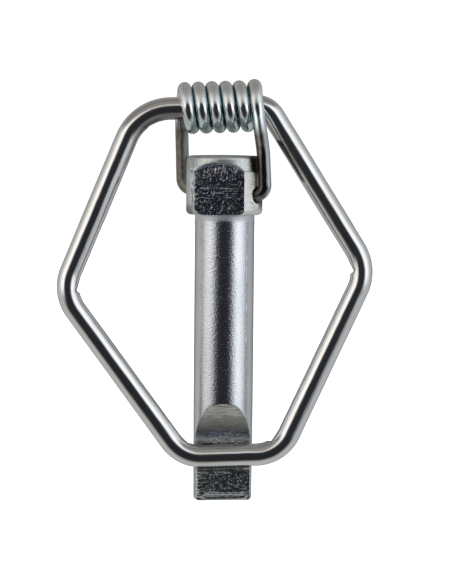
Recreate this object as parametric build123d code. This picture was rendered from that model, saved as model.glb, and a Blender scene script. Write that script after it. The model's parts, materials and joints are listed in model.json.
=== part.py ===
from build123d import *
import math
import os

# Hitch pin lock, in millimetres. A round pin hangs by its upset head. A torsion-wound
# coil spring stands over the head, with its two hooked legs pivoting in the head's
# cross hole. A hexagonal wire bail turns inside the coil, and its straight bottom bar
# snaps into a notch in the front of the pin's tip.
#
# +Z runs up the pin towards its head, +X is to the right and the notch faces -Y.
# The origin is on the pin's axis, under the head.

# --- Pin -----------------------------------------------------------------------------
SHANK_DIAMETER = 11.11
SHANK_LENGTH = 53.5
TIP_DIAMETER = 10.9
TIP_ROUND = 0.5

HEAD_HEIGHT = 11.0
DRUM_DIAMETER = 14.24
DRUM_HEIGHT = 8.0
DRUM_ROUND = 0.9
RIM_DIAMETER = 14.4
RIM_DRAFT = 0.12
RIM_ROUND = 0.95
CROWN_RISE = 0.12

HEAD_FLAT_TO_AXIS = 5.44
HEAD_FLAT_TURN = -9.5
HEAD_ARCH_TOP_Z = 9.6
HEAD_ARCH_FOOT = (4.7, 8.05)

# --- Notch in the tip, seen from the side: depths are measured from the pin's front ----
SCOOP_TOP_Z = -35.0
SCOOP_ENTRY_SLOPE = 50.0
SCOOP_ENTRY_DEPTH = 0.65
SCOOP_MIDDLE = (2.75, -39.4)
SCOOP_FLOOR = (4.85, -45.4)
POCKET_BOTTOM = (4.6, -46.6)
LIP_DEPTH = 3.4
LIP_TOP_Z = -47.4
LIP_BEVEL_HEIGHT = 1.4
LIP_BEVEL_DEPTH = 0.45

# --- Spring --------------------------------------------------------------------------
SPRING_WIRE = 2.45
COIL_OUTER_DIAMETER = 9.7
COIL_PITCH = 2.54
COIL_TURNS = 5.5
COIL_LEFT_X = -8.2
COIL_AXIS_Z = 20.05
COIL_TILT = 2.3
LEG_LEAD = 1.6
LEG_EASE_RADIUS = 9.0
HOOK_RADIUS = 1.9
HOOK_REACH = 6.1
LEFT_HOOK = Vector(-7.93, 3.33, 4.95)
RIGHT_HOOK = Vector(7.45, -4.30, 3.60)
RIGHT_LEG_KNEE = Vector(7.00, -4.90, 11.6)

HOLE_DIAMETER = SPRING_WIRE + 0.16
HOLE_MOUTH_DIAMETER = 3.9
HOLE_MOUTH_AT = 7.35

# --- Bail, drawn in its own plane: the coil's axis is its x axis, and down is -y --------
BAIL_WIRE = 4.2
BAIL_LEAN = 2.95
BAIL_DEPTH = 64.9
BUTT_GAP = 0.5
BUTT_X = -1.2
TOP_LEFT_X = -16.2
TOP_RIGHT_X = 7.7
LEFT_CORNER = (-31.5, -33.5)
RIGHT_CORNER = (25.4, -31.0)
BAR_LEFT_X = -10.1
BAR_RIGHT_X = 8.0
BAIL_BEND_RADII = (4.0, 8.0, 7.0, 7.0, 7.5, 9.0)

SHANK_RADIUS = SHANK_DIAMETER / 2
COIL_RADIUS = (COIL_OUTER_DIAMETER - SPRING_WIRE) / 2


def coil_axis() -> Vector:
    """Direction of the coil's axis, left to right; its right end stands a little high."""
    tilt = math.radians(COIL_TILT)
    return Vector(math.cos(tilt), 0, math.sin(tilt))


def hook_axis() -> Vector:
    """Direction of the head's cross hole, from the left hook to the right one."""
    return (RIGHT_HOOK - LEFT_HOOK).normalized()


def round_wire(path: Wire, diameter: float) -> Part:
    """A round wire along a path of lines and tangent arcs."""
    section = Plane(origin=path @ 0, z_dir=path % 0) * Circle(diameter / 2)
    return sweep(sections=section, path=path)


def pin_blank() -> Part:
    """The round outline of shank and upset head, before anything is cut from it. The
    shank is straight down to the top of the notch, and tapers a little below it."""
    tip = TIP_DIAMETER / 2
    drum = DRUM_DIAMETER / 2
    rim = RIM_DIAMETER / 2
    rim_top = rim - RIM_DRAFT
    shoulder_z = HEAD_HEIGHT - RIM_ROUND
    with BuildSketch(Plane.XZ) as outline:
        with BuildLine():
            Line((0, -SHANK_LENGTH), (tip - TIP_ROUND, -SHANK_LENGTH))
            RadiusArc((tip - TIP_ROUND, -SHANK_LENGTH),
                      (tip, -SHANK_LENGTH + TIP_ROUND), -TIP_ROUND)
            Line((tip, -SHANK_LENGTH + TIP_ROUND), (SHANK_RADIUS, SCOOP_TOP_Z))
            Line((SHANK_RADIUS, SCOOP_TOP_Z), (SHANK_RADIUS, 0))
            Line((SHANK_RADIUS, 0), (drum - DRUM_ROUND, 0))
            RadiusArc((drum - DRUM_ROUND, 0), (drum, DRUM_ROUND), -DRUM_ROUND)
            Line((drum, DRUM_ROUND), (drum, DRUM_HEIGHT))
            Line((drum, DRUM_HEIGHT), (rim, DRUM_HEIGHT))
            Line((rim, DRUM_HEIGHT), (rim_top, shoulder_z))
            RadiusArc((rim_top, shoulder_z), (rim_top - RIM_ROUND, HEAD_HEIGHT), -RIM_ROUND)
            Line((rim_top - RIM_ROUND, HEAD_HEIGHT), (0, HEAD_HEIGHT + CROWN_RISE))
            Line((0, HEAD_HEIGHT + CROWN_RISE), (0, -SHANK_LENGTH))
        make_face()
    return revolve(outline.sketch, axis=Axis.Z)


def head_flat_cutter(turn: float) -> Part:
    """What the trimming die takes off one side of the head: a flat with an arched top,
    over which the rim is left standing out. turn is about Z, from the front."""
    half_width, foot_z = HEAD_ARCH_FOOT
    with BuildSketch(Plane.XZ.offset(HEAD_FLAT_TO_AXIS)) as face:
        with BuildLine():
            ThreePointArc((-half_width, foot_z), (0, HEAD_ARCH_TOP_Z), (half_width, foot_z))
            Polyline((half_width, foot_z), (half_width, 0), (-half_width, 0),
                     (-half_width, foot_z))
        make_face()
    cutter = extrude(face.sketch, amount=RIM_DIAMETER / 2)
    return Rot(0, 0, turn) * cutter


def notch_cutter() -> Part:
    """The notch: a scooped ramp down to a pocket for the bail's bar, then the lip's
    flat, which is bevelled at the end of the pin."""
    front = -SHANK_RADIUS
    outside = 3.0
    entry = math.tan(math.radians(SCOOP_ENTRY_SLOPE))
    entry_end = (front + SCOOP_ENTRY_DEPTH, SCOOP_TOP_Z - SCOOP_ENTRY_DEPTH / entry)
    middle = (front + SCOOP_MIDDLE[0], SCOOP_MIDDLE[1])
    floor = (front + SCOOP_FLOOR[0], SCOOP_FLOOR[1])
    bevel_z = -SHANK_LENGTH + LIP_BEVEL_HEIGHT
    with BuildSketch(Plane.YZ) as side:
        with BuildLine():
            Line((front - outside, SCOOP_TOP_Z + outside / entry), entry_end)
            ThreePointArc(entry_end, middle, floor)
            Polyline(
                floor,
                (front + POCKET_BOTTOM[0], POCKET_BOTTOM[1]),
                (front + LIP_DEPTH, LIP_TOP_Z),
                (front + LIP_DEPTH, bevel_z),
                (front + LIP_DEPTH + LIP_BEVEL_DEPTH, -SHANK_LENGTH),
                (front + LIP_DEPTH + LIP_BEVEL_DEPTH, -SHANK_LENGTH - 1),
                (front - outside, -SHANK_LENGTH - 1),
                (front - outside, SCOOP_TOP_Z + outside / entry),
            )
        make_face()
    return extrude(side.sketch, amount=SHANK_DIAMETER, both=True)


def cross_hole_cutter() -> Part:
    """The hole through the head for the spring's hooks, with a countersunk mouth."""
    middle = (LEFT_HOOK + RIGHT_HOOK) * 0.5
    along = Plane(origin=middle, z_dir=hook_axis())
    cutter = Cylinder(HOLE_DIAMETER / 2, 2 * RIM_DIAMETER)
    mouth_depth = (HOLE_MOUTH_DIAMETER - HOLE_DIAMETER) / 2
    for side in (1, -1):
        mouth = Cone(HOLE_DIAMETER / 2, HOLE_MOUTH_DIAMETER / 2, mouth_depth)
        if side < 0:
            mouth = Rot(180, 0, 0) * mouth
        cutter += Pos(0, 0, side * (HOLE_MOUTH_AT - mouth_depth / 2)) * mouth
    return along * cutter


def make_pin() -> Part:
    """The pin: shank and head in one forging, with its flats, notch and cross hole."""
    body = pin_blank()
    for turn in (HEAD_FLAT_TURN, HEAD_FLAT_TURN + 180):
        body -= head_flat_cutter(turn)
    body -= notch_cutter()
    body -= cross_hole_cutter()
    return body


def make_spring() -> Part:
    """The spring: a close-wound right-hand coil. Its left leg comes off the back and
    its right leg off the front, and each ends in a hook in the head's cross hole."""
    axis = coil_axis()
    start = Vector(0, 0, COIL_AXIS_Z) + axis * (COIL_LEFT_X / axis.X)
    frame = Plane(origin=start, x_dir=(0, 1, 0), z_dir=axis)
    helix = frame * Helix(COIL_PITCH, COIL_PITCH * COIL_TURNS, COIL_RADIUS)
    section = Plane(origin=helix @ 0, z_dir=helix % 0) * Circle(SPRING_WIRE / 2)
    coil = sweep(sections=section, path=helix, is_frenet=True)

    left_lead = (helix @ 0) - (helix % 0) * LEG_LEAD
    left_path = FilletPolyline(
        helix @ 0, left_lead, LEFT_HOOK, LEFT_HOOK + hook_axis() * HOOK_REACH,
        radius=[LEG_EASE_RADIUS, HOOK_RADIUS],
    )
    right_lead = (helix @ 1) + (helix % 1) * LEG_LEAD
    right_path = FilletPolyline(
        helix @ 1, right_lead, RIGHT_LEG_KNEE, RIGHT_HOOK,
        RIGHT_HOOK - hook_axis() * HOOK_REACH,
        radius=[LEG_EASE_RADIUS, LEG_EASE_RADIUS, HOOK_RADIUS],
    )
    return coil + round_wire(left_path, SPRING_WIRE) + round_wire(right_path, SPRING_WIRE)


def make_bail() -> Part:
    """The bail: one wire bent into a hexagon, whose two ends butt inside the coil."""
    axis = coil_axis()
    lean = math.radians(BAIL_LEAN)
    up = Vector(-axis.Z * math.cos(lean), math.sin(lean), axis.X * math.cos(lean))
    plane = Plane(origin=(0, 0, COIL_AXIS_Z), x_dir=axis, z_dir=axis.cross(up))
    outline = FilletPolyline(
        (BUTT_X + BUTT_GAP / 2, 0),
        (TOP_RIGHT_X, 0),
        RIGHT_CORNER,
        (BAR_RIGHT_X, -BAIL_DEPTH),
        (BAR_LEFT_X, -BAIL_DEPTH),
        LEFT_CORNER,
        (TOP_LEFT_X, 0),
        (BUTT_X - BUTT_GAP / 2, 0),
        radius=BAIL_BEND_RADII,
    )
    return round_wire(plane * outline, BAIL_WIRE)


def main() -> None:
    os.makedirs("parts", exist_ok=True)
    export_step(make_pin(), "parts/pin.step")
    export_step(make_spring(), "parts/torsion_spring.step")
    export_step(make_bail(), "parts/wire_bail.step")


main()
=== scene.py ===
import json
import math
from functools import reduce

import bpy
import numpy as np
from mathutils import Matrix, Vector


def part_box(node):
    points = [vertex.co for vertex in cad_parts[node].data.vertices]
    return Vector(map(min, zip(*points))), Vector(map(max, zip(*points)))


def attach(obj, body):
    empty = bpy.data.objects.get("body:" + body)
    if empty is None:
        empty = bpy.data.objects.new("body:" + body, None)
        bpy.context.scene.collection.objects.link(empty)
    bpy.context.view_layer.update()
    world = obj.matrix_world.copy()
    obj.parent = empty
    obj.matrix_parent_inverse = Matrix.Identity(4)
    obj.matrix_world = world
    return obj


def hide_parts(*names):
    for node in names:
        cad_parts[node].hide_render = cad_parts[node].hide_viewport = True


# Hitch pin lock: three plated steel pieces, each rebuilt here as a fine mesh with its
# forging, shearing and bending marks. Lengths are in millimetres until a mesh is made,
# angles in degrees. +Z runs up the pin, the notch faces -Y, and the origin is on the
# pin's axis under its head.

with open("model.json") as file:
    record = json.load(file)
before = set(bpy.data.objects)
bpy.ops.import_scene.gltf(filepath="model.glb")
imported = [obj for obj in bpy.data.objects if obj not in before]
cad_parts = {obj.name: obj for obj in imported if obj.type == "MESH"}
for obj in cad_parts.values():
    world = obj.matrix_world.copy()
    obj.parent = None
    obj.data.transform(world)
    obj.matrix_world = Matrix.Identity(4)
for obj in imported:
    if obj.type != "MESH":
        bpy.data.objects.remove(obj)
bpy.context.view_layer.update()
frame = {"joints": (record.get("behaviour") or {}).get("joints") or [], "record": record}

MM = 0.001
FRONT = Vector((0, -1, 0))

# --- Sizes read from the frame ---
joints = {joint["name"]: joint for joint in frame["joints"]}
mounts = {mount["name"]: mount for mount in frame["record"]["mounts"]}
pin_low, pin_high = (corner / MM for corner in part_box("pin"))

SHANK_RADIUS = mounts["shank"]["dims"]["r_mm"]
GRIP_LENGTH = mounts["shank"]["dims"]["length_mm"]
PIN_END_Z = pin_low.z
HEAD_TOP_Z = pin_high.z
RIM_RADIUS = pin_high.x
COIL_CENTRE = Vector(joints["bail_swing"]["pos_m"]) / MM
COIL_AXIS = -Vector(joints["bail_swing"]["axis"])
HOOK_CENTRE = Vector(joints["spring_swing"]["pos_m"]) / MM
HOOK_AXIS = -Vector(joints["spring_swing"]["axis"])

# --- Pin ---
DRUM_RADIUS = 7.12
DRUM_HEIGHT = 8.0
DRUM_ROUND = 0.9
RIM_ROUND = 0.95
RIM_DRAFT = 0.12
CROWN_RISE = 0.12
HEAD_OFFSET = -0.12
TIP_RADIUS = 5.45
TIP_ROUND = 0.5
HEAD_FLAT_TO_AXIS = 5.44
HEAD_FLAT_TURN = -9.5
HEAD_ARCH_TOP_Z = 9.6
HEAD_ARCH_FOOT = (4.7, 8.05)
HEAD_LEDGE = 1.7

SCOOP_ENTRY_SLOPE = 50.0
SCOOP_ENTRY_DEPTH = 0.65
SCOOP_MIDDLE = (2.75, -39.4)
SCOOP_FLOOR = (4.85, -45.4)
POCKET_BOTTOM = (4.6, -46.6)
LIP_DEPTH = 3.4
LIP_TOP_Z = -47.4
LIP_TURN = 6.0
LIP_BEVEL_HEIGHT = 1.4
LIP_BEVEL_DEPTH = 0.45
HOLE_RADIUS = 1.3
HOLE_MOUTH_RADIUS = 1.6
HOLE_MOUTH_DEPTH = 0.45
HOLE_SHOWN_DEPTH = 1.6

# Marks on the pin, whose angles are turns from straight ahead, negative to the left
BURR_RIDGES = (-50.5, -60.5)
BURR_TROUGH = -55.5
SEAMS = (-47.5, 47.0)
ARCH_CURL = 0.28
FLAT_EDGE_ROUND = 0.08
NOTCH_EDGE_ROUND = 0.09
TEETH_HEIGHT = 0.2
TEETH_PITCH = 0.62
OUTLINE_HALF_LENGTH = 4.2
OUTLINE_RADIUS = 0.5
OUTLINE_ABOVE_END = 0.8

# The pin's skin: its middle moves back in the tip, so that the notch stays clear of it
TIP_BACK_SHIFT = 2.4
TIP_SHIFT_TOP_Z = -25.0
TIP_SHIFT_END_Z = -34.0
PIN_COLUMNS = 360
CLOSE_ROWS = 0.13
DRUM_ROWS = 0.14
SHANK_ROWS = 0.4

# Kinds of surface on the pin, in the order of its materials
PLATED, SHEARED, RIM, SCOOPED = range(4)

# --- Spring ---
SPRING_WIRE = 2.45
COIL_RADIUS = 3.625
COIL_PITCH = 2.54
COIL_TURNS = 5.5
COIL_LEFT_X = -8.2
LAST_TURN_SPREAD = 0.28
LAST_TURN_RISE = 0.16
LEG_LEAD = 1.6
LEG_EASE_RADIUS = 9.0
HOOK_RADIUS = 1.9
HOOK_REACH = 6.1
HOOK_SPAN = 8.589
LAST_TURN_START = 40.0      # along the wire from its middle
LEG_START = 65.0
RIGHT_LEG_KNEE = Vector((7.00, -4.90, 11.6))
SPRING_COLUMNS = 32
SPRING_ROWS = 0.25

# --- Bail, in its own plane: x along the coil's axis, y up ---
BAIL_WIRE = 4.2
BAIL_LEAN = 2.95
BAIL_DEPTH = 64.9
BUTT_GAP = 0.5
BUTT_X = -1.2
TOP_LEFT_X = -16.2
TOP_RIGHT_X = 7.7
LEFT_CORNER = (-31.5, -33.5)
RIGHT_CORNER = (25.4, -31.0)
BAR_LEFT_X = -10.1
BAR_RIGHT_X = 8.0
BAIL_BEND_RADII = (4.0, 8.0, 7.0, 7.0, 7.5, 9.0)
BEND_SWELL = 0.10
BEND_EDGE_ROUND = 0.10
INNER_LEDGE = 0.95
BAIL_COLUMNS = 48
BAIL_ROWS = 0.3

# --- Both wires ---
END_DOME = 0.18

# --- Camera, floor and studio ---
VIEW_WIDTH = 84.4
VIEW_DISTANCE = 340.0
VIEW_ELEVATION = 3.5
VIEW_ROLL = 0.52
VIEW_TARGET = Vector((0.36, -1.0, -14.4))
SENSOR_WIDTH = 36.0
FLOOR_BELOW_PIN = 45.0
FLOOR_HALF_WIDTH = 4000.0
DARK_CENTRE = Vector((-0.02, -0.99, -0.12))
STUDIO_STRENGTH = 1.3
BACKDROP = (0.8, 0.8, 0.8)


# ===== Small numeric helpers =====

def smooth_step(low, high, value):
    """0 below low, 1 above high, with an eased ramp between them."""
    share = np.clip((value - low) / (high - low), 0.0, 1.0)
    return share * share * (3.0 - 2.0 * share)


def round_min(first, second, radius):
    """The smaller of two distances, with the corner between them rounded."""
    blend = np.clip(0.5 + 0.5 * (second - first) / radius, 0.0, 1.0)
    return second + (first - second) * blend - radius * blend * (1.0 - blend)


def value_noise(u, v, seed):
    """Smooth noise from -1 to 1 whose cells are one unit wide in u and v."""
    size = 128
    table = np.random.default_rng(seed).uniform(-1.0, 1.0, (size, size))
    column = np.floor(u).astype(int)
    row = np.floor(v).astype(int)
    x = u - column
    y = v - row
    x = x * x * (3.0 - 2.0 * x)
    y = y * y * (3.0 - 2.0 * y)

    def along(row):
        """The noise on one line between cells."""
        left, right = table[column % size, row % size], table[(column + 1) % size, row % size]
        return left * (1 - x) + right * x

    return along(row) * (1 - y) + along(row + 1) * y


# ===== Centrelines of the wires =====

def rounded_route(corners, radii, step):
    """Points step apart along straight runs joined by tangent arcs."""
    corners = [Vector(corner) for corner in corners]
    points = [corners[0]]
    for before, corner, after, radius in zip(corners, corners[1:], corners[2:], radii):
        into = (corner - before).normalized()
        out = (after - corner).normalized()
        turn = into.angle(out)
        tangent = radius * math.tan(turn / 2)
        start = corner - into * tangent
        add_straight(points, start, step)
        side = (out - into * out.dot(into)).normalized()
        count = max(4, math.ceil(radius * turn / step))
        for share in np.linspace(0, 1, count + 1)[1:]:
            angle = turn * share
            points.append(start + into * radius * math.sin(angle)
                          + side * radius * (1 - math.cos(angle)))
    add_straight(points, corners[-1], step)
    return np.array([tuple(point) for point in points])


def add_straight(points, end, step):
    """Adds points step apart from the last one to end."""
    start = points[-1].copy()
    count = max(1, math.ceil((end - start).length / step))
    for share in np.linspace(0, 1, count + 1)[1:]:
        points.append(start.lerp(end, share))


def travel_along(points):
    """Distance from the first point to each point along a route."""
    steps = np.linalg.norm(np.diff(points, axis=0), axis=1)
    return np.concatenate([[0.0], np.cumsum(steps)])


def route_tangents(points):
    """Unit vectors along a route."""
    tangents = np.gradient(points, axis=0)
    return tangents / np.linalg.norm(tangents, axis=1, keepdims=True)


def frames_beside(points, side):
    """Two unit vectors across the route at each point, the first as near as it can be
    to a fixed direction that the route never runs along."""
    tangents = route_tangents(points)
    side = np.array(tuple(side))
    sides = side - tangents * (tangents @ side)[:, None]
    sides /= np.linalg.norm(sides, axis=1, keepdims=True)
    return sides, np.cross(tangents, sides)


# ===== Meshes =====

def mesh_piece(name, vertices, faces, uv=None, face_material=None):
    """A smooth-shaded mesh object from vertices in millimetres. uv is one pair for each
    vertex, whose second value is an angle."""
    mesh = bpy.data.meshes.new(name)
    mesh.from_pydata((np.asarray(vertices) * MM).tolist(), [], faces)
    mesh.shade_smooth()
    if uv is not None:
        mesh.uv_layers.new(name="along_and_around").data.foreach_set("uv", corner_uv(mesh, uv))
    if face_material is not None:
        mesh.polygons.foreach_set("material_index", np.asarray(face_material, np.int32))
    piece = bpy.data.objects.new(name, mesh)
    bpy.context.scene.collection.objects.link(piece)
    return piece


def corner_uv(mesh, uv):
    """The uv of each face corner, with the angle carried past a full turn on the faces
    where it starts again."""
    corner_vertex = np.empty(len(mesh.loops), int)
    mesh.loops.foreach_get("vertex_index", corner_vertex)
    corners = np.asarray(uv, float)[corner_vertex]
    quads = sum(1 for polygon in mesh.polygons if len(polygon.vertices) == 4)
    angle = corners[:quads * 4, 1].reshape(-1, 4)
    angle += np.where(angle < angle.max(axis=1, keepdims=True) - math.pi, math.tau, 0)
    return corners.ravel()


def grid_faces(rows, columns, first=0):
    """Quads between rows of vertices that close on themselves."""
    faces = []
    for row in range(rows - 1):
        for column in range(columns):
            beside = (column + 1) % columns
            low = first + row * columns
            high = low + columns
            faces.append((low + column, low + beside, high + beside, high + column))
    return faces


def wire_piece(name, points, sides, ups, radius):
    """A wire along points, closed by shallow domed ends. radius is one row for each
    point, whose values go round the wire from sides towards ups."""
    around = radius.shape[1]
    angles = np.linspace(0, math.tau, around, endpoint=False)
    across = (sides[:, None, :] * np.cos(angles)[None, :, None]
              + ups[:, None, :] * np.sin(angles)[None, :, None])
    rings = points[:, None, :] + across * radius[:, :, None]
    travel = travel_along(points)

    ahead, behind = points[-1] - points[-2], points[0] - points[1]
    ahead, behind = ahead / np.linalg.norm(ahead), behind / np.linalg.norm(behind)
    start_rings = end_rings(points[0], behind, across[0] * radius[0][:, None])[::-1]
    stop_rings = end_rings(points[-1], ahead, across[-1] * radius[-1][:, None])
    all_rings = np.concatenate([start_rings, rings, stop_rings])
    rows = len(all_rings)

    vertices = np.concatenate([all_rings.reshape(-1, 3), [points[0] + behind * END_DOME],
                               [points[-1] + ahead * END_DOME]])
    faces = grid_faces(rows, around)
    tip = rows * around
    last_row = tip - around
    for column in range(around):
        beside = (column + 1) % around
        faces.append((tip, beside, column))
        faces.append((tip + 1, last_row + column, last_row + beside))

    ends = len(start_rings)
    from_middle = travel - travel[-1] / 2
    ring_travel = np.pad(from_middle, ends, mode="edge")
    uv = np.stack(np.meshgrid(ring_travel, angles, indexing="ij"), axis=-1)
    uv = np.concatenate([uv.reshape(-1, 2), [[from_middle[0], 0], [from_middle[-1], 0]]])
    return mesh_piece(name, vertices, faces, uv)


def end_rings(centre, outward, spokes):
    """Rings that round the cut end of a wire off into a shallow dome."""
    rings = []
    for share in (0.93, 0.75, 0.4):
        height = END_DOME * (1 - share ** 4)
        rings.append(centre + spokes * share + outward * height)
    return np.array(rings)


# ===== The bail =====

def bail_plane():
    """Origin and axes of the bail's plane, whose bottom leans forward."""
    lean = math.radians(BAIL_LEAN)
    upright = FRONT.cross(COIL_AXIS).normalized()
    up = (upright * math.cos(lean) - FRONT * math.sin(lean)).normalized()
    return COIL_CENTRE, COIL_AXIS, up


def bail_corners():
    """The bail's corners in its own plane, from one butt end round to the other."""
    return [
        (BUTT_X + BUTT_GAP / 2, 0),
        (TOP_RIGHT_X, 0),
        RIGHT_CORNER,
        (BAR_RIGHT_X, -BAIL_DEPTH),
        (BAR_LEFT_X, -BAIL_DEPTH),
        LEFT_CORNER,
        (TOP_LEFT_X, 0),
        (BUTT_X - BUTT_GAP / 2, 0),
    ]


def inner_flat_depth(travel, middle, bend_radius, turn, falling):
    """How far a bending tool has pressed the inside of a corner: the straight inner edge
    runs on to the corner's middle, and then a short ledge steps back out.
    falling is 1 if the ledge comes after the middle, and -1 if it comes before."""
    inner_radius = bend_radius - BAIL_WIRE / 2
    before = (middle - travel) * falling
    angle = np.clip(turn / 2 - before / bend_radius, 0, turn / 2)
    run_on = inner_radius * (1 / np.cos(angle) - 1)
    ledge = 1 - smooth_step(0.0, INNER_LEDGE, -before)
    return np.where(before >= 0, run_on, run_on.max() * ledge)


def make_bail():
    """The hexagonal wire with its pressed inner corners and slightly flattened bends."""
    origin, along, up = bail_plane()
    flat_corners = bail_corners()
    corners = [origin + along * x + up * y for x, y in flat_corners]
    points = rounded_route(corners, BAIL_BEND_RADII, BAIL_ROWS)
    sides, ups = frames_beside(points, up.cross(along))
    travel = travel_along(points)

    angles = np.linspace(0, math.tau, BAIL_COLUMNS, endpoint=False)
    radius = np.full((len(points), BAIL_COLUMNS), BAIL_WIRE / 2)
    inside = np.clip(-np.sin(angles), 1e-3, None)

    # which corner, the side of its middle that the ledge is on, and how far it is pressed
    corner_marks = ((1, 1.0, 0.08), (2, 1.0, 1.0), (3, 1.0, 0.7), (4, -1.0, 0.55),
                    (5, -1.0, 0.85), (6, -1.0, 0.15))
    for index, falling, amount in corner_marks:
        before, corner, after = (corners[index + k] for k in (-1, 0, 1))
        turn = (corner - before).angle(after - corner)
        middle = travel[np.argmin(np.linalg.norm(points - np.array(tuple(corner)), axis=1))]
        bend = BAIL_BEND_RADII[index - 1]
        depth = amount * inner_flat_depth(travel, middle, bend, turn, falling)
        reach = (BAIL_WIRE / 2 - depth)[:, None] / inside[None, :]
        radius = round_min(radius, reach, BEND_EDGE_ROUND)
        swell = BEND_SWELL * smooth_step(bend * turn / 2 + 1.5, 0.0, np.abs(travel - middle))
        radius += swell[:, None] * np.abs(np.cos(angles))[None, :] ** 2

    # slight unevenness of the drawn wire
    u, v = np.meshgrid(travel, angles, indexing="ij")
    radius += 0.012 * value_noise(u / 6.0, 3 * np.cos(v), 11)
    radius += 0.008 * value_noise(u / 1.7, 5 * np.cos(v + 1), 12)
    return wire_piece("wire_bail_formed", points, sides, ups, radius)


# ===== The spring =====

def hook_corner(side):
    """Where a leg's line meets the cross hole's axis: side is -1 left, 1 right."""
    return HOOK_CENTRE + HOOK_AXIS * HOOK_SPAN * side


def coil_points(step):
    """The coil's centreline: right-handed, from the back at the left end to the front
    at the right end. Its last turn stands a little apart from the others."""
    back = -FRONT
    upright = COIL_AXIS.cross(back).normalized()
    start = COIL_CENTRE + COIL_AXIS * (COIL_LEFT_X / COIL_AXIS.x)
    turns = np.arange(0, COIL_TURNS * math.tau, step / COIL_RADIUS)
    turns = np.append(turns, COIL_TURNS * math.tau)
    share = turns / math.tau
    spread = LAST_TURN_SPREAD * smooth_step(4.3, 5.2, share) * smooth_step(5.5, 5.3, share)
    height = share * COIL_PITCH + spread
    wander = 0.03 * value_noise(share * 1.3, share * 0 + 0.5, 21)
    radius = COIL_RADIUS + 0.03 * value_noise(share * 2.1, share * 0 + 0.5, 22)
    rise = LAST_TURN_RISE * smooth_step(4.6, 5.25, share) * smooth_step(5.5, 5.28, share)
    axis, back, upright = (np.array(tuple(v)) for v in (COIL_AXIS, back, upright))
    return (np.array(tuple(start))
            + axis * (height + wander)[:, None]
            + back * (radius * np.cos(turns))[:, None]
            + upright * (radius * np.sin(turns) + rise)[:, None])


def spring_points(step):
    """The whole wire: left hook, left leg, coil, right leg and right hook."""
    coil = coil_points(step)
    first, second, next_to_last, last = (Vector(coil[k]) for k in (0, 1, -2, -1))
    first_way = (first - second).normalized()
    last_way = (last - next_to_last).normalized()
    left = rounded_route(
        [first, first + first_way * LEG_LEAD, hook_corner(-1),
         hook_corner(-1) + HOOK_AXIS * HOOK_REACH],
        [LEG_EASE_RADIUS, HOOK_RADIUS], step)
    right = rounded_route(
        [last, last + last_way * LEG_LEAD, RIGHT_LEG_KNEE, hook_corner(1),
         hook_corner(1) - HOOK_AXIS * HOOK_REACH],
        [LEG_EASE_RADIUS, LEG_EASE_RADIUS, HOOK_RADIUS], step)
    return np.concatenate([left[:0:-1], coil, right[1:]])


def make_spring():
    """The torsion spring, of slightly uneven wire."""
    points = spring_points(SPRING_ROWS)
    sides, ups = frames_beside(points, COIL_AXIS)
    angles = np.linspace(0, math.tau, SPRING_COLUMNS, endpoint=False)
    u, v = np.meshgrid(travel_along(points), angles, indexing="ij")
    radius = np.full(u.shape, SPRING_WIRE / 2)
    radius += 0.008 * value_noise(u / 4.0, 3 * np.cos(v), 31)
    radius += 0.006 * value_noise(u / 0.9, 4 * np.cos(v + 2), 32)
    return wire_piece("torsion_spring_wound", points, sides, ups, radius)


# ===== The pin =====

def pin_profile():
    """Radius and height down the blank's outline, from the tip's rounded end up to the
    edge of the head's crown, with close rows where there is detail."""
    quarter = np.linspace(0, math.pi / 2, 7)
    drum_inner = DRUM_RADIUS - DRUM_ROUND
    rim_top = RIM_RADIUS - RIM_DRAFT
    rim_round_z = HEAD_TOP_Z - CROWN_RISE - RIM_ROUND

    tip_end = [(TIP_RADIUS - TIP_ROUND * (1 - math.sin(a)),
                PIN_END_Z + TIP_ROUND * (1 - math.cos(a))) for a in quarter]
    tip_z = np.arange(PIN_END_Z + TIP_ROUND + CLOSE_ROWS, -GRIP_LENGTH, CLOSE_ROWS)
    taper = (SHANK_RADIUS - TIP_RADIUS) / (GRIP_LENGTH + PIN_END_Z + TIP_ROUND)
    tip = [(SHANK_RADIUS - taper * (GRIP_LENGTH + z), z) for z in tip_z]
    shank = [(SHANK_RADIUS, z) for z in np.arange(-GRIP_LENGTH + 0.1, -0.5, SHANK_ROWS)]
    neck = [(SHANK_RADIUS, -0.3), (SHANK_RADIUS + 0.02, -0.12), (SHANK_RADIUS + 0.1, -0.02)]
    under = [(r, 0.03 * (r - SHANK_RADIUS)) for r in np.linspace(5.75, drum_inner, 4)]
    drum_round = [(drum_inner + DRUM_ROUND * math.sin(a), 0.02 + DRUM_ROUND * (1 - math.cos(a)))
                  for a in quarter[1:]]
    drum = [(DRUM_RADIUS, z) for z in np.arange(DRUM_ROUND + 0.15, DRUM_HEIGHT - 0.1, DRUM_ROWS)]
    parting = [(DRUM_RADIUS, DRUM_HEIGHT), (RIM_RADIUS - 0.01, DRUM_HEIGHT + 0.09)]
    rim = [(np.interp(z, [DRUM_HEIGHT, rim_round_z], [RIM_RADIUS, rim_top]), z)
           for z in np.arange(DRUM_HEIGHT + 0.22, rim_round_z - 0.1, CLOSE_ROWS)]
    rim_round = [(rim_top - RIM_ROUND * (1 - math.cos(a)), rim_round_z + RIM_ROUND * math.sin(a))
                 for a in quarter]
    return np.array(tip_end + tip + shank + neck + under + drum_round + drum + parting
                    + rim + rim_round)


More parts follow.
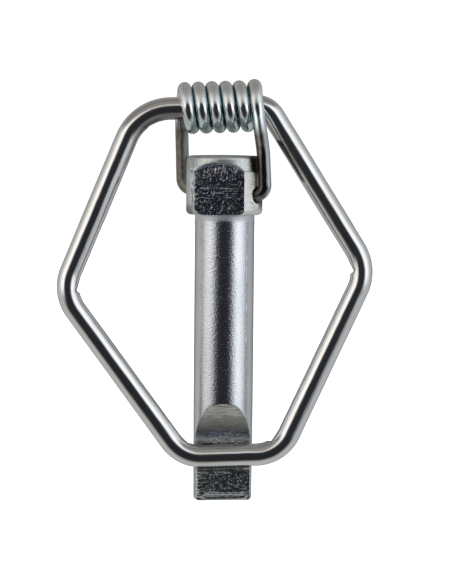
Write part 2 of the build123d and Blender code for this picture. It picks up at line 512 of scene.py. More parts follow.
def notch_face(z):
    """How far back the notch's face lies at each height, as y."""
    front = -SHANK_RADIUS
    entry = math.tan(math.radians(SCOOP_ENTRY_SLOPE))
    top_z = -GRIP_LENGTH
    entry_end = (front + SCOOP_ENTRY_DEPTH, top_z - SCOOP_ENTRY_DEPTH / entry)
    middle = (front + SCOOP_MIDDLE[0], SCOOP_MIDDLE[1])
    floor = (front + SCOOP_FLOOR[0], SCOOP_FLOOR[1])
    centre, radius = circle_through(entry_end, middle, floor)
    on_arc = centre[0] + math.copysign(1, middle[0] - centre[0]) * np.sqrt(
        np.maximum(radius ** 2 - (z - centre[1]) ** 2, 0.0))
    on_entry = front - (z - top_z) * entry
    bevel_z = PIN_END_Z + LIP_BEVEL_HEIGHT
    below = np.interp(z, [PIN_END_Z, bevel_z, LIP_TOP_Z, POCKET_BOTTOM[1], SCOOP_FLOOR[1]],
                      [front + LIP_DEPTH + LIP_BEVEL_DEPTH, front + LIP_DEPTH,
                       front + LIP_DEPTH, front + POCKET_BOTTOM[0], front + SCOOP_FLOOR[0]])
    return np.where(z > entry_end[1], on_entry, np.where(z > SCOOP_FLOOR[1], on_arc, below))


def circle_through(first, second, third):
    """Centre and radius of the circle through three points."""
    (ax, ay), (bx, by), (cx, cy) = first, second, third
    double = 2 * (ax * (by - cy) + bx * (cy - ay) + cx * (ay - by))
    a2, b2, c2 = (x * x + y * y for x, y in (first, second, third))
    x = (a2 * (by - cy) + b2 * (cy - ay) + c2 * (ay - by)) / double
    y = (a2 * (cx - bx) + b2 * (ax - cx) + c2 * (bx - ax)) / double
    return (x, y), math.hypot(ax - x, ay - y)


def ridge(distance, width):
    """1 on a line and falling to 0 over the given width on both sides of it."""
    return np.exp(-(distance / width) ** 2)


def shear_marks(across, height, seed):
    """Relief of a sheared face, in millimetres: level tear lines, steep streaks that
    are strongest where the shear stopped, and pits."""
    bent = height + 0.35 * value_noise(across / 1.6, height / 1.6, seed + 5)
    strength = 0.55 + 0.45 * value_noise(across / 1.3, height / 0.9, seed + 6)
    tears = value_noise(across / 1.9, bent / 0.32, seed)
    tears += 0.7 * value_noise(across / 0.8, bent / 0.18, seed + 1)
    leaning = across + 0.12 * height
    steep = value_noise(leaning / 0.36, height / 1.0, seed + 2)
    steep += 0.6 * value_noise(leaning / 0.2, height / 0.6, seed + 3)
    tears, steep = tears * strength, steep * strength
    lumps = value_noise(across / 0.6, height / 0.45, seed + 4)
    pits = np.minimum(lumps + 0.35, 0)
    return tears, steep, pits


def head_flat(theta, z, turn, seed):
    """Distance from the axis of one trimmed flat of the head, along each ray. Near the
    arch at its top the flat curls out into the underside of the rim."""
    facing = (theta - math.radians(turn) + math.pi) % math.tau - math.pi
    across = HEAD_FLAT_TO_AXIS * np.tan(np.clip(facing, -1.2, 1.2))
    half_width, foot_z = HEAD_ARCH_FOOT
    arch_z = HEAD_ARCH_TOP_Z - (HEAD_ARCH_TOP_Z - foot_z) * (across / half_width) ** 2
    curl = HEAD_LEDGE * np.clip((z - arch_z + ARCH_CURL) / ARCH_CURL, 0, 1.2) ** 2
    fan = smooth_step(3.6, 1.0, arch_z - z)
    tears, steep, pits = shear_marks(across, z, seed)
    marks = tears * (0.020 - 0.010 * fan) + steep * (0.010 + 0.045 * fan) + 0.12 * pits
    plane = HEAD_FLAT_TO_AXIS + curl + marks * smooth_step(0.2, 0.9, z)
    plane = plane + 6.0 * smooth_step(0.0, -0.02, z)
    return along_rays(plane, np.cos(facing))


def rolled_edge(theta, z):
    """The burr that trimming rolled over on the drum, left of the front flat: two
    wandering ridges with a trough between them."""
    degrees = np.degrees(theta)
    wander = 1.2 * value_noise(z / 0.7, theta * 0, 81) + 0.7 * value_noise(z / 0.3, theta * 0, 82)
    length = smooth_step(0.9, 1.6, z) * smooth_step(8.9, 8.3, z)
    inner_height = 0.20 + 0.14 * value_noise(z / 0.5, z * 0, 83)
    outer_height = 0.17 + 0.10 * value_noise(z / 0.8, z * 0, 84)
    inner = inner_height * ridge(degrees - BURR_RIDGES[0] + wander, 1.7)
    outer = outer_height * ridge(degrees - BURR_RIDGES[1] - wander, 1.9)
    trough = 0.22 * ridge(degrees - BURR_TROUGH, 3.2)
    return length * (inner + outer - trough)


def shank_seams(theta, z):
    """Fine seams down both sides of the shank; the right-hand one comes and goes."""
    degrees = np.degrees(theta)
    below_head = smooth_step(-0.4, -1.4, z)
    left = 0.022 * ridge(degrees - SEAMS[0], 1.3)
    broken = smooth_step(-0.2, 0.5, value_noise(z / 0.55, z * 0, 85))
    right = 0.05 * broken * ridge(degrees - SEAMS[1], 1.2)
    return -below_head * (left + right)


def lip_side(x, y, z):
    """1 on the strip at the lip's left that the die tore as well, else 0."""
    below_top = smooth_step(LIP_TOP_Z + 0.3, LIP_TOP_Z - 0.1, z)
    above_end = smooth_step(PIN_END_Z + 0.3, PIN_END_Z + 0.6, z)
    on_left = smooth_step(-5.42, -5.25, x) * smooth_step(-4.4, -4.9, x)
    return below_top * above_end * on_left * (y < 0.5)


def teeth(x, z):
    """A row of small teeth, one for each pitch of height."""
    place = (z / TEETH_PITCH + 0.22 * x) % 1.0
    return TEETH_HEIGHT * (np.abs(place - 0.5) * 2 - 0.6)


def end_outline(x, z):
    """A raised line round the lip's bevelled end, like a rectangle with round ends."""
    from_middle_x = np.maximum(np.abs(x - 0.3) - OUTLINE_HALF_LENGTH, 0)
    from_middle_z = z - (PIN_END_Z + OUTLINE_ABOVE_END)
    distance = np.hypot(from_middle_x, from_middle_z) - OUTLINE_RADIUS
    return 0.13 * ridge(distance, 0.11)


def notch_marks(x, z, lip):
    """Relief of the notch: torn and lined on the lip, pressed in arcs in the scoop."""
    tears, steep, pits = shear_marks(x / 1.7, z, 70)
    lip_marks = 0.036 * tears + 0.006 * steep + 0.08 * pits + end_outline(x, z)
    arcs = value_noise((z + 0.06 * x ** 2) / 0.22, x / 3.0, 61)
    lumps = value_noise(x / 0.5, z / 0.3, 62)
    scoop_marks = 0.02 * arcs + 0.10 * lumps * smooth_step(-39.9, -40.8, z)
    return lip * lip_marks + (1 - lip) * scoop_marks


def along_rays(gap, toward):
    """How far each ray goes before it meets a face: never, if it points away from it."""
    return np.where(toward > 0.05, gap / np.maximum(toward, 0.05), 99.0)


def make_pin():
    """Shank and head as one closed skin of rays from the pin's middle, each stopped by
    the nearest of the blank's outline, the head's two flats and the notch."""
    profile = pin_profile()
    angle = np.linspace(-math.pi, math.pi, PIN_COLUMNS, endpoint=False)
    radius, theta = np.meshgrid(profile[:, 0], angle, indexing="ij")
    z = np.broadcast_to(profile[:, 1][:, None], radius.shape)
    radius = radius + rolled_edge(theta, z) + shank_seams(theta, z)

    back_shift = TIP_BACK_SHIFT * smooth_step(TIP_SHIFT_TOP_Z, TIP_SHIFT_END_Z, z)
    ray_x, ray_y = np.sin(theta), -np.cos(theta)
    inward = back_shift * ray_y
    reach = -inward + np.sqrt(radius ** 2 - back_shift ** 2 + inward ** 2)
    x, y = ray_x * reach, ray_y * reach + back_shift
    torn = lip_side(x, y, z)
    torn_teeth = torn * teeth(x, z)
    reach = reach + torn_teeth
    region = np.where(z > DRUM_HEIGHT + 0.05, RIM, PLATED)
    region = np.where(torn > 0.5, SHEARED, region)

    for index, turn in enumerate((HEAD_FLAT_TURN, HEAD_FLAT_TURN + 180)):
        distance = head_flat(theta, z, turn, 40 + 10 * index)
        region = np.where(distance < reach, SHEARED, region)
        reach = round_min(reach, distance, FLAT_EDGE_ROUND)

    lip = smooth_step(LIP_TOP_Z + 0.2, LIP_TOP_Z - 0.2, z)
    marks = notch_marks(x, z, lip) + lip * torn_teeth
    toward = -ray_y + ray_x * math.tan(math.radians(LIP_TURN)) * lip
    distance = along_rays(back_shift - (notch_face(z) - marks), toward)
    in_notch = np.where(z < LIP_TOP_Z, SHEARED, SCOOPED)
    region = np.where(distance < reach, in_notch, region)
    reach = round_min(reach, distance, NOTCH_EDGE_ROUND)

    x = ray_x * reach + HEAD_OFFSET * smooth_step(-0.1, 0.1, z)
    y = ray_y * reach + back_shift
    x, y = countersink_holes(x, y, z)
    grid, region = close_ends(np.stack([x, y, z], axis=-1), region)
    faces, face_region = pin_faces(grid, region)
    return mesh_piece("pin_forged", grid.reshape(-1, 3), faces, None, face_region)


def countersink_holes(x, y, z):
    """Presses the cross hole's two mouths, and a little of its bore, into the head."""
    point = np.stack([x, y, z], axis=-1) - np.array(tuple(HOOK_CENTRE))
    axis = np.array(tuple(HOOK_AXIS))
    along = point @ axis
    off_axis = np.linalg.norm(point - along[..., None] * axis, axis=-1)
    cone = HOLE_MOUTH_DEPTH * smooth_step(HOLE_MOUTH_RADIUS, HOLE_RADIUS + 0.05, off_axis)
    bore = HOLE_SHOWN_DEPTH * smooth_step(HOLE_RADIUS + 0.06, HOLE_RADIUS - 0.12, off_axis)
    depth = (cone + bore) * np.sign(along)
    at_mouths = (np.abs(z - HOOK_CENTRE.z) < 4) & (np.abs(along) > 4)
    depth = np.where(at_mouths, depth, 0.0)
    return x - depth * axis[0], y - depth * axis[1]


def close_ends(grid, region):
    """Adds rings that close the tip's end and the head's crowned top."""
    shares = np.array([0.985, 0.95, 0.85, 0.7, 0.5, 0.3, 0.12, 0.02])
    tip_middle = np.array([0.0, TIP_BACK_SHIFT / 2, PIN_END_Z])
    crown_middle = np.array([HEAD_OFFSET, 0.0, HEAD_TOP_Z - CROWN_RISE])
    tip_rings = [tip_middle + (grid[0] - tip_middle) * share for share in shares[::-1]]
    crown_rings = []
    for share in shares:
        ring = crown_middle + (grid[-1] - crown_middle) * share
        ring[:, 2] += CROWN_RISE * (1 - share ** 2)
        crown_rings.append(ring)
    tip_region = np.full((len(shares), grid.shape[1]), PLATED)
    crown_region = np.full((len(shares), grid.shape[1]), RIM)
    return (np.concatenate([tip_rings, grid, crown_rings]),
            np.concatenate([tip_region, region, crown_region]))


def pin_faces(grid, region):
    """Quads of the skin, and the region that most of each one's corners are in."""
    rows, around = grid.shape[:2]
    faces = grid_faces(rows, around)
    face_region = np.full((rows - 1, around), PLATED)
    for kind in (SHEARED, RIM, SCOOPED):
        inside = (region == kind).astype(float)
        share = (inside[:-1] + inside[1:]) / 4
        share = share + np.roll(share, -1, axis=1)
        face_region[share >= 0.5] = kind
    faces.append(tuple(range(around))[::-1])
    low = (rows - 1) * around
    faces.append(tuple(range(low, low + around)))
    return faces, face_region.ravel().tolist() + [PLATED, RIM]


# ===== Materials =====

def node(tree, kind, **settings):
    """A new shader node. Settings named in_NAME or in_0 set input sockets."""
    made = tree.nodes.new(kind)
    for key, value in settings.items():
        if not key.startswith("in_"):
            setattr(made, key, value)
            continue
        socket = key[3:]
        made.inputs[int(socket) if socket.isdigit() else socket].default_value = value
    return made


def join(tree, value, socket):
    """Gives an input socket a plain number or a link from another socket."""
    if isinstance(value, (int, float)):
        socket.default_value = value
    else:
        tree.links.new(value, socket)


def new_metal(name, roughness):
    """A bare metal material and its tree."""
    material = bpy.data.materials.new(name)
    material.use_nodes = True
    shader = material.node_tree.nodes["Principled BSDF"]
    shader.inputs["Metallic"].default_value = 1.0
    shader.inputs["Roughness"].default_value = roughness
    return material, material.node_tree


def coated(material, colour, relief, gloss=None):
    """The material, with its colour, normal and roughness taken from sockets."""
    tree = material.node_tree
    shader = tree.nodes["Principled BSDF"]
    tree.links.new(colour, shader.inputs["Base Color"])
    tree.links.new(relief, shader.inputs["Normal"])
    if gloss is not None:
        tree.links.new(gloss, shader.inputs["Roughness"])
    return material


def ramp(tree, source, stops):
    """A colour ramp on a value, from (position, colour) stops."""
    made = tree.nodes.new("ShaderNodeValToRGB")
    elements = made.color_ramp.elements
    while len(elements) < len(stops):
        elements.new(0.5)
    for element, (position, colour) in zip(elements, stops):
        element.position = position
        element.color = (*colour, 1.0)
    tree.links.new(source, made.inputs["Fac"])
    return made.outputs["Color"]


def grey(level):
    """A neutral colour."""
    return (level, level, level)


def stretched(tree, coordinates, scale):
    """Coordinates scaled by a different amount along each axis."""
    mapping = node(tree, "ShaderNodeMapping", in_Scale=scale)
    tree.links.new(coordinates, mapping.inputs["Vector"])
    return mapping.outputs["Vector"]


def noise(tree, coordinates, scale, detail=3.0, roughness=0.55):
    """Noise at a scale of cells per unit of the coordinates."""
    made = node(tree, "ShaderNodeTexNoise", in_Scale=scale, in_Detail=detail,
                in_Roughness=roughness)
    tree.links.new(coordinates, made.inputs["Vector"])
    return made.outputs["Fac"]


def bump(tree, height, strength, distance, under=None):
    """A bump of the given depth in metres, laid over another one if given. Its strength
    is a number or a socket."""
    made = node(tree, "ShaderNodeBump", in_Distance=distance)
    join(tree, strength, made.inputs["Strength"])
    tree.links.new(height, made.inputs["Height"])
    if under is not None:
        tree.links.new(under, made.inputs["Normal"])
    return made.outputs["Normal"]


def split(tree, vector):
    """The three parts of a vector."""
    made = tree.nodes.new("ShaderNodeSeparateXYZ")
    tree.links.new(vector, made.inputs[0])
    return made.outputs


def calculate(tree, operation, first, second=0.0, third=0.0):
    """A math node on values or sockets."""
    made = node(tree, "ShaderNodeMath", operation=operation)
    for socket, value in zip(made.inputs, (first, second, third)):
        join(tree, value, socket)
    return made.outputs[0]


def product(tree, *factors):
    """Several values, of which some may be plain numbers, multiplied together."""
    return reduce(lambda one, other: calculate(tree, "MULTIPLY", one, other), factors)


def largest(tree, *values):
    """The largest of several values."""
    return reduce(lambda one, other: calculate(tree, "MAXIMUM", one, other), values)


def scaled(tree, value, factor, offset):
    """A value times a factor, plus an offset."""
    return calculate(tree, "MULTIPLY_ADD", value, factor, offset)


def eased(tree, value, low, high):
    """0 at low and 1 at high, eased between them; low may be the larger."""
    made = node(tree, "ShaderNodeMapRange", interpolation_type="SMOOTHSTEP",
                in_1=low, in_2=high)
    tree.links.new(value, made.inputs[0])
    return made.outputs[0]


def mixed(tree, share, first, second):
    """A colour between two, each a socket or a plain colour."""
    made = node(tree, "ShaderNodeMix", data_type="RGBA")
    join(tree, share, made.inputs[0])
    for socket, colour in ((made.inputs[6], first), (made.inputs[7], second)):
        if isinstance(colour, tuple):
            socket.default_value = (*colour, 1.0)
        else:
            tree.links.new(colour, socket)
    return made.outputs[2]


def object_place(tree):
    """Object coordinates in millimetres."""
    place = node(tree, "ShaderNodeTexCoord").outputs["Object"]
    return stretched(tree, place, (1000.0, 1000.0, 1000.0))


def round_the_wire(tree, along_scale, around_scale):
    """Seamless coordinates on a wire, along it and round it as a circle; then the
    distance along it from its middle, and the angle round it."""
    u, v, _ = split(tree, node(tree, "ShaderNodeUVMap", uv_map="along_and_around").outputs["UV"])
    made = tree.nodes.new("ShaderNodeCombineXYZ")
    tree.links.new(product(tree, u, along_scale), made.inputs[0])
    for socket, turn in ((made.inputs[1], "COSINE"), (made.inputs[2], "SINE")):
        tree.links.new(product(tree, calculate(tree, turn, v), around_scale), socket)
    return made.outputs[0], u, v


def bail_metal():
    """Zinc on drawn wire: fine lines along it, soft warm patches and small pits, and a
    painted shade on the inner side at the upper left, near the coil."""
    material, tree = new_metal("bail_zinc", 0.16)
    place = object_place(tree)
    x, _, z = split(tree, place)
    wire, _, angle = round_the_wire(tree, 0.12, 5.0)
    lines = noise(tree, wire, 1.0, 4.0)
    patches = noise(tree, place, 0.16, 4.0)
    pits = noise(tree, place, 2.4, 2.0)

    lined = ramp(tree, lines, [(0.3, grey(0.70)), (0.62, (0.82, 0.82, 0.81))])
    warm = ramp(tree, patches, [(0.35, (0.82, 0.82, 0.83)), (0.7, (0.72, 0.69, 0.66))])
    # painted shade: the wire's inner side at the upper left, next to the coil, is darkened
    inner_side = eased(tree, calculate(tree, "SINE", angle), -0.40, -0.62)
    upper_left = product(tree, eased(tree, x, -5.0, -9.0), eased(tree, z, 14.0, 16.5))
    painted_shade_by_coil = product(tree, upper_left, inner_side)
    colour = mixed(tree, painted_shade_by_coil, mixed(tree, 0.4, lined, warm), (0.24, 0.23, 0.22))
    gloss = ramp(tree, patches, [(0.3, grey(0.09)), (0.7, grey(0.16))])
    fine = bump(tree, lines, 0.3, 0.00003)
    relief = bump(tree, pits, 0.2, 0.00002, fine)
    return coated(material, colour, relief, gloss)


def turn_gaps(tree, rightness, along):
    """1 on the sides of the coil's turns that face another turn, else 0."""
    gaps = []
    for side in (1.0, -1.0):
        sideways = eased(tree, rightness, side * 0.72, side)
        in_coil = eased(tree, along, side * (LAST_TURN_START + 4), side * LAST_TURN_START)
        gaps.append(product(tree, sideways, in_coil))
    return largest(tree, *gaps)


def spring_metal():
    """Zinc on spring wire: painted teal shade in the gaps between turns, painted warm light on
    top of the coil, a painted cool reflection below, and dull grey-brown legs with painted light
    on their right sides and painted shade on the rest of the right leg."""
    material, tree = new_metal("spring_zinc", 0.2)
    place = object_place(tree)
    wire, along, angle = round_the_wire(tree, 0.2, 4.0)
    lines = noise(tree, wire, 1.0, 4.0)
    lumps = noise(tree, place, 0.9, 3.0)
    height = split(tree, place)[2]
    rightness = calculate(tree, "COSINE", angle)
    # painted light: the right-facing side of each leg is given a lighter colour
    lit_right_side = eased(tree, rightness, 0.25, 0.8)
    leg = eased(tree, calculate(tree, "ABSOLUTE", along), LEG_START, LEG_START + 3.5)
    left = eased(tree, along, 1.0, -1.0)
    # painted light: the top of the coil is given a lighter, warm colour
    painted_top_light = product(tree, eased(tree, height, 22.0, 24.3), 0.5)
    # painted reflection: the underside of the coil is tinted a lighter, cool blue
    lower = product(tree, eased(tree, height, 19.4, 17.4), 0.45)
    satin = product(tree, eased(tree, height, 19.7, 20.9), 0.36)

    bare = ramp(tree, lines, [(0.3, (0.78, 0.81, 0.82)), (0.62, (0.92, 0.94, 0.94))])
    # painted shade: the sides of turns that face another turn are darkened to teal
    gap_shaded = mixed(tree, turn_gaps(tree, rightness, along), bare, (0.36, 0.54, 0.58))
    gap_and_underside_painted = mixed(tree, lower, gap_shaded, (0.50, 0.64, 0.68))
    coil = mixed(tree, painted_top_light, gap_and_underside_painted, (0.86, 0.82, 0.78))
    # painted shade: the right leg's other sides, beside the head, are near black
    right_leg_shade = ramp(tree, lumps, [(0.35, (0.09, 0.08, 0.07)), (0.65, (0.20, 0.19, 0.18))])
    right_leg = mixed(tree, lit_right_side, right_leg_shade, (0.56, 0.60, 0.62))
    brown = ramp(tree, lumps, [(0.35, (0.21, 0.19, 0.17)), (0.65, (0.33, 0.31, 0.28))])
    left_leg = mixed(tree, lit_right_side, brown, (0.45, 0.46, 0.46))
    colour = mixed(tree, leg, coil, mixed(tree, left, right_leg, left_leg))
    dullness = product(tree, leg, scaled(tree, left, 0.28, 0.06))
    smoothest = largest(tree, satin, calculate(tree, "ADD", dullness, 0.08))
    gloss = scaled(tree, lumps, 0.1, smoothest)
    fine = bump(tree, lines, 0.35, 0.00004)
    relief = bump(tree, lumps, 0.3, 0.00006, fine)
    return coated(material, colour, relief, gloss)


def leg_shade_and_spot(tree, place):
    """How much painted shade the pin has at a place: brown painted shade where the front leg
    of the spring lies against the head, and a dark spot at the drum's lower left."""
    x, _, z = split(tree, place)
    wobble = product(tree, noise(tree, place, 0.9, 3.0), 1.6)
    wider_on_rim = calculate(tree, "ADD", x, eased(tree, z, 7.6, 8.4))
    beside_leg = eased(tree, calculate(tree, "ADD", wider_on_rim, wobble), 6.3, 6.8)
    right = product(tree, beside_leg, eased(tree, z, 0.6, 2.4))
    far_left = eased(tree, calculate(tree, "SUBTRACT", x, wobble), -6.2, -7.0)
    low = product(tree, eased(tree, z, 2.6, 0.8), eased(tree, z, -0.4, 0.0))
    return largest(tree, right, product(tree, far_left, low, 0.7))


def slow_waver(tree, place):
    """A slow waver of half a millimetre or less, for edges that wander."""
    return scaled(tree, noise(tree, place, 1.1, 3.0), 0.9, -0.45)


def painted_highlights(tree, place):
    """Where highlights are painted on the drum: along the burr left of the front flat, and
    on a strip to the flat's right."""
    x, y, z = split(tree, place)
    waver = slow_waver(tree, place)
    shifted = calculate(tree, "ADD", x, waver)
    from_burr = calculate(tree, "ABSOLUTE", calculate(tree, "ADD", shifted, 5.66))
    strip_left = eased(tree, calculate(tree, "SUBTRACT", x, waver), 4.7, 4.9)
    strip_right = eased(tree, shifted, 6.5, 6.0)
    strip = product(tree, strip_left, strip_right, eased(tree, z, 7.9, 7.5))
    line = largest(tree, eased(tree, from_burr, 0.30, 0.16), strip)
    on_drum = product(tree, eased(tree, z, 1.0, 1.8), eased(tree, z, 8.8, 8.2))
    return product(tree, line, on_drum, eased(tree, y, -2.0, -3.0))


def flattened_drum(tree, place, under):
    """Tips the drum's face toward the front beside the front flat, where trimming
    flattened it: a strip on the right and a line along the burr on the left. The
    heights are in millimetres."""
    x, y, z = split(tree, place)
    across = calculate(tree, "ADD", x, slow_waver(tree, place))
    strip = product(tree, eased(tree, across, 4.2, 6.6), 0.95)
    burr = product(tree, eased(tree, across, -5.3, -6.1), 0.55)
    on_drum = product(tree, eased(tree, z, 0.9, 1.5), eased(tree, z, 8.2, 7.7))
    in_front = eased(tree, y, -2.0, -3.0)
    return bump(tree, calculate(tree, "ADD", strip, burr), product(tree, on_drum, in_front),
                MM, under)


def plated_metal():
    """Zinc on the cold-headed blank, bluish, with an orange-peel grain that breaks the
    edges of reflections into specks."""
    material, tree = new_metal("plated_zinc", 0.2)
    place = object_place(tree)
    x, _, z = split(tree, place)
    grain = noise(tree, place, 2.9, 4.0, 0.65)
    lines = noise(tree, stretched(tree, place, (0.9, 0.9, 0.025)), 1.0, 3.0)
    patches = noise(tree, place, 0.12, 4.0, 0.6)
    specks = eased(tree, noise(tree, place, 3.3, 3.0, 0.6), 0.58, 0.68)
    highlit = painted_highlights(tree, place)

    clean = ramp(tree, patches, [(0.3, (0.81, 0.83, 0.86)), (0.55, (0.73, 0.76, 0.80)),
                                 (0.75, (0.66, 0.69, 0.74))])
    # painted light: the right side of the drum is given a lighter, warmer colour
    on_head = product(tree, eased(tree, z, -0.3, 0.4), eased(tree, x, -1.0, 3.0))
    drum_right_lit = mixed(tree, on_head, clean, (0.93, 0.92, 0.89))
    # painted shade beside the spring's leg, and a dark spot at the drum's lower left
    shaded_and_spotted = mixed(tree, leg_shade_and_spot(tree, place), drum_right_lit, (0.14, 0.11, 0.09))
    # painted highlight: the burr line and the strip right of the front flat are near white
    colour = mixed(tree, highlit, shaded_and_spotted, (0.97, 0.96, 0.94))
    speckled = scaled(tree, specks, 0.30, eased(tree, patches, -0.3, 4.5))
    under_head = product(tree, eased(tree, z, -1.7, -0.7), 0.5)
    gloss = largest(tree, speckled, under_head, product(tree, highlit, 0.25))
    fine = bump(tree, lines, 0.25, 0.00003)
    relief = flattened_drum(tree, place, bump(tree, grain, 0.8, 0.00006, fine))
    return coated(material, colour, relief, gloss)


def rim_metal():
    """Dull zinc on the rim and crown of the head, where the heading die left a grain."""
    material, tree = new_metal("rim_zinc", 0.42)
    place = object_place(tree)
    grain = noise(tree, place, 1.6, 4.0, 0.6)
    clean = ramp(tree, grain, [(0.35, (0.58, 0.61, 0.60)), (0.65, (0.76, 0.79, 0.78))])
    # painted shade beside the spring's leg, and a dark spot at the drum's lower left
    colour = mixed(tree, leg_shade_and_spot(tree, place), clean, (0.13, 0.10, 0.08))
    return coated(material, colour, bump(tree, grain, 0.5, 0.00008))


def sheared_metal():
    """Zinc over torn steel: near black and glossy, with dull pale flecks and tear lines painted
    on as highlights.
    The painted flecks stand upright under the head's arch, and the lip is lined and greener."""
    material, tree = new_metal("sheared_zinc", 0.2)
    place = object_place(tree)
    height = split(tree, place)[2]
    tears = noise(tree, stretched(tree, place, (0.32, 0.32, 4.4)), 1.0, 5.0, 0.7)
    upright = noise(tree, stretched(tree, place, (3.9, 3.9, 1.7)), 1.0, 4.0, 0.65)
    flecks = noise(tree, place, 3.6, 4.0, 0.65)
    patches = noise(tree, place, 0.5, 4.0, 0.6)
    on_lip = eased(tree, height, -46.0, -47.0)
    under_arch = eased(tree, height, 6.4, 7.8)
    middle = product(tree, eased(tree, height, 2.4, 3.4), eased(tree, height, 6.2, 5.0))

    shade = ramp(tree, patches, [(0.3, (0.13, 0.17, 0.31)), (0.5, (0.24, 0.27, 0.36)),
                                 (0.68, (0.48, 0.49, 0.50))])
    greener = mixed(tree, on_lip, shade, (0.58, 0.62, 0.61))
    # painted highlights: pale flecks, upright flecks under the arch and tear lines stand in for
    # glints
    speckled = eased(tree, flecks, 0.58, 0.65)
    upright_glints = product(tree, eased(tree, upright, 0.55, 0.61), under_arch)
    most_lined = largest(tree, on_lip, product(tree, middle, 0.8))
    lined = scaled(tree, most_lined, 0.52, 0.15)
    torn = product(tree, eased(tree, tears, 0.52, 0.64), lined)
    pale = largest(tree, speckled, upright_glints, torn)
    colour = mixed(tree, pale, greener, (0.95, 0.96, 0.97))
    gloss = scaled(tree, pale, 0.58, 0.14)
    fine = bump(tree, tears, 0.8, 0.00003)
    relief = bump(tree, flecks, 0.8, 0.00003, fine)
    return coated(material, colour, relief, gloss)


def scooped_metal():
    """The pressed scoop, painted with reflection bands from beige at its top through olive and a
    blue band to a grey floor with pale specks, and a painted shadow as a dark line just above the
    bar."""
    material, tree = new_metal("scooped_zinc", 0.3)
    place = object_place(tree)
    height = split(tree, place)[2]
    specks = noise(tree, stretched(tree, place, (1.6, 2.0, 2.6)), 1.0, 4.0, 0.7)
    scratches = noise(tree, stretched(tree, place, (0.35, 1.6, 3.4)), 1.0, 5.0, 0.7)
    scratched = product(tree, eased(tree, scratches, 0.56, 0.40), 0.56)

    # the painted reflection bands run from 46 mm below the head up to 35 mm, with edges that
    # wander; the dark stop at 0.265 to 0.285 is a painted shadow of the bar
    above_low = scaled(tree, specks, 0.9, calculate(tree, "ADD", height, 45.55))
    painted_reflection_bands = ramp(tree, calculate(tree, "DIVIDE", above_low, 11.0), [
        (0.0, (0.45, 0.46, 0.49)), (0.25, (0.74, 0.75, 0.77)),
        (0.265, (0.18, 0.20, 0.21)), (0.285, (0.18, 0.20, 0.21)),
        (0.31, (0.84, 0.85, 0.88)), (0.38, (0.83, 0.86, 0.92)),
        (0.43, (0.26, 0.36, 0.50)), (0.52, (0.40, 0.47, 0.55)),
        (0.56, (0.69, 0.71, 0.65)), (0.72, (0.76, 0.77, 0.71)),
        (0.80, (0.96, 0.94, 0.88))])
    worn_painted_reflections = mixed(tree, scratched, painted_reflection_bands, (0.34, 0.34, 0.31))
    pale = product(tree, eased(tree, specks, 0.55, 0.62), eased(tree, height, -40.0, -40.8))
    colour = mixed(tree, pale, worn_painted_reflections, grey(1.0))
    gloss = scaled(tree, scratches, 0.2, 0.2)
    fine = bump(tree, scratches, 0.8, 0.00008)
    relief = bump(tree, specks, 0.8, 0.00008, fine)
    return coated(material, colour, relief, gloss)


# ===== Camera, studio and floor =====

def make_camera():
    """A long lens straight in front of the pin and a little above it."""
    elevation = math.radians(VIEW_ELEVATION)
    away = Vector((0.0, -math.cos(elevation), math.sin(elevation)))
    data = bpy.data.cameras.new("photo_camera")
    data.sensor_fit = "HORIZONTAL"
    data.sensor_width = SENSOR_WIDTH
    data.lens = SENSOR_WIDTH * VIEW_DISTANCE / VIEW_WIDTH
    data.clip_start = 0.01
    data.clip_end = 50.0
    camera = bpy.data.objects.new("photo_camera", data)
    place = (VIEW_TARGET + away * VIEW_DISTANCE) * MM
    facing = (-away).to_track_quat("-Z", "Y").to_matrix()
    roll = Matrix.Rotation(math.radians(VIEW_ROLL), 3, "Z")
    camera.matrix_world = Matrix.Translation(place) @ (facing @ roll).to_4x4()
    bpy.context.scene.collection.objects.link(camera)
    bpy.context.scene.camera = camera


def make_floor():
    """A plain white floor well below the pin, which hangs in the air as if held."""
    size = FLOOR_HALF_WIDTH * MM
    height = (PIN_END_Z - FLOOR_BELOW_PIN) * MM
    corners = [(-size, -size, height), (size, -size, height),
               (size, size, height), (-size, size, height)]
    mesh = bpy.data.meshes.new("floor")
    mesh.from_pydata(corners, [], [(0, 1, 2, 3)])
    floor = bpy.data.objects.new("floor", mesh)
    bpy.context.scene.collection.objects.link(floor)
    material = bpy.data.materials.new("floor_white")
    material.use_nodes = True
    shader = material.node_tree.nodes["Principled BSDF"]
    white_paint = {"Base Color": (0.9, 0.9, 0.9, 1.0), "Roughness": 0.9,
                   "Emission Color": (1.0, 1.0, 1.0, 1.0), "Emission Strength": 1.0}
    for name, value in white_paint.items():
        shader.inputs[name].default_value = value
    mesh.materials.append(material)
    floor.visible_glossy = False


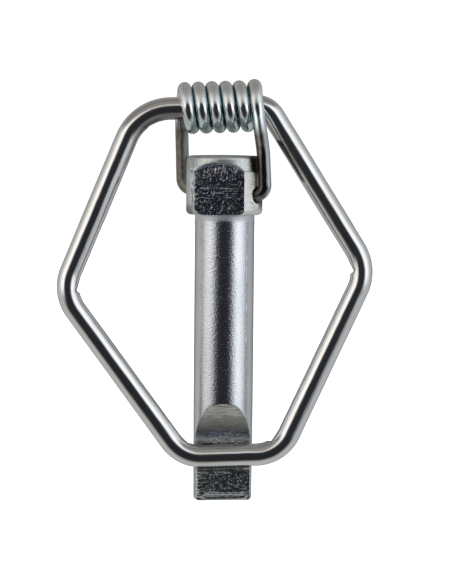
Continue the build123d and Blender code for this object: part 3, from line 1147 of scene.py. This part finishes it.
def studio_colours(tree, direction):
    """What the studio shows in each direction: a grey surround with two soft white
    lights, upper left and upper right of the camera. Bright metal shows the camera's
    side as a dark band between two white ones."""
    x, _, z = split(tree, direction)
    facing = node(tree, "ShaderNodeVectorMath", operation="DOT_PRODUCT",
                  in_1=DARK_CENTRE.normalized())
    tree.links.new(direction, facing.inputs[0])
    turn = calculate(tree, "ARCCOSINE", facing.outputs["Value"])
    away = calculate(tree, "DIVIDE", turn, math.pi)

    def surround(*stops):
        """Colours by the angle from the dark centre, in degrees."""
        return ramp(tree, away, [(degrees / 180, colour) for degrees, colour in stops])

    def degrees_up(lean):
        """Height of a direction, counted as higher on the right for a positive lean."""
        sine = scaled(tree, x, lean, z)
        return product(tree, calculate(tree, "ARCSINE", sine), 180 / math.pi)

    sides = surround(
        (0, (0.016, 0.017, 0.022)), (26, (0.022, 0.024, 0.030)), (32, grey(0.09)),
        (38.5, grey(0.55)), (45, grey(1.0)), (62, grey(1.0)), (76, grey(0.76)),
        (90, grey(0.52)), (106, grey(0.40)), (130, grey(0.33)), (148, grey(0.24)),
        (162, grey(0.04)), (180, grey(0.03)))
    overhead = surround(
        (0, grey(0.02)), (14, grey(0.04)), (28, grey(0.15)), (42, (0.22, 0.215, 0.21)),
        (66, (0.26, 0.25, 0.245)), (76, (0.22, 0.21, 0.205)), (92, (0.17, 0.165, 0.16)),
        (108, (0.17, 0.165, 0.16)), (130, grey(0.28)), (148, grey(0.24)), (162, grey(0.04)))
    below = surround(
        (0, (0.016, 0.017, 0.022)), (38, grey(0.02)), (47, grey(0.11)),
        (57, (0.30, 0.305, 0.31)), (68, (0.42, 0.425, 0.43)), (110, grey(0.42)),
        (130, grey(0.34)), (148, grey(0.24)), (162, grey(0.04)))
    lowered = mixed(tree, eased(tree, degrees_up(0.08), 3.0, -20.0), sides, below)
    seen = mixed(tree, eased(tree, degrees_up(-0.12), 30.0, 46.0), lowered, overhead)
    tint = mixed(tree, eased(tree, x, -0.6, 0.6), (1.0, 0.975, 0.94), (0.95, 0.98, 1.0))
    tinted = node(tree, "ShaderNodeMix", data_type="RGBA", blend_type="MULTIPLY", in_0=1.0)
    tree.links.new(seen, tinted.inputs[6])
    tree.links.new(tint, tinted.inputs[7])
    return tinted.outputs[2]


def make_studio():
    """The world: the studio for light and reflections, and a white backdrop in view."""
    world = bpy.data.worlds.new("studio")
    bpy.context.scene.world = world
    world.use_nodes = True
    tree = world.node_tree
    tree.nodes.clear()
    direction = node(tree, "ShaderNodeTexCoord").outputs["Generated"]
    to_camera = node(tree, "ShaderNodeLightPath").outputs["Is Camera Ray"]
    shown = mixed(tree, to_camera, studio_colours(tree, direction), BACKDROP)
    background = node(tree, "ShaderNodeBackground", in_Strength=STUDIO_STRENGTH)
    tree.links.new(shown, background.inputs["Color"])
    output = tree.nodes.new("ShaderNodeOutputWorld")
    tree.links.new(background.outputs[0], output.inputs["Surface"])


# ===== The whole =====

def dress(piece, materials, body, replaced):
    """Gives a piece its materials and puts it on its body in place of the CAD node."""
    for material in materials:
        piece.data.materials.append(material)
    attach(piece, body)
    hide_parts(replaced)


make_camera()
make_studio()
make_floor()
bpy.context.scene.view_settings.view_transform = "Standard"

dress(make_bail(), [bail_metal()], "bail", "wire_bail")
dress(make_spring(), [spring_metal()], "spring", "torsion_spring")
pin_metals = [plated_metal(), sheared_metal(), rim_metal(), scooped_metal()]
dress(make_pin(), pin_metals, "pin", "pin")
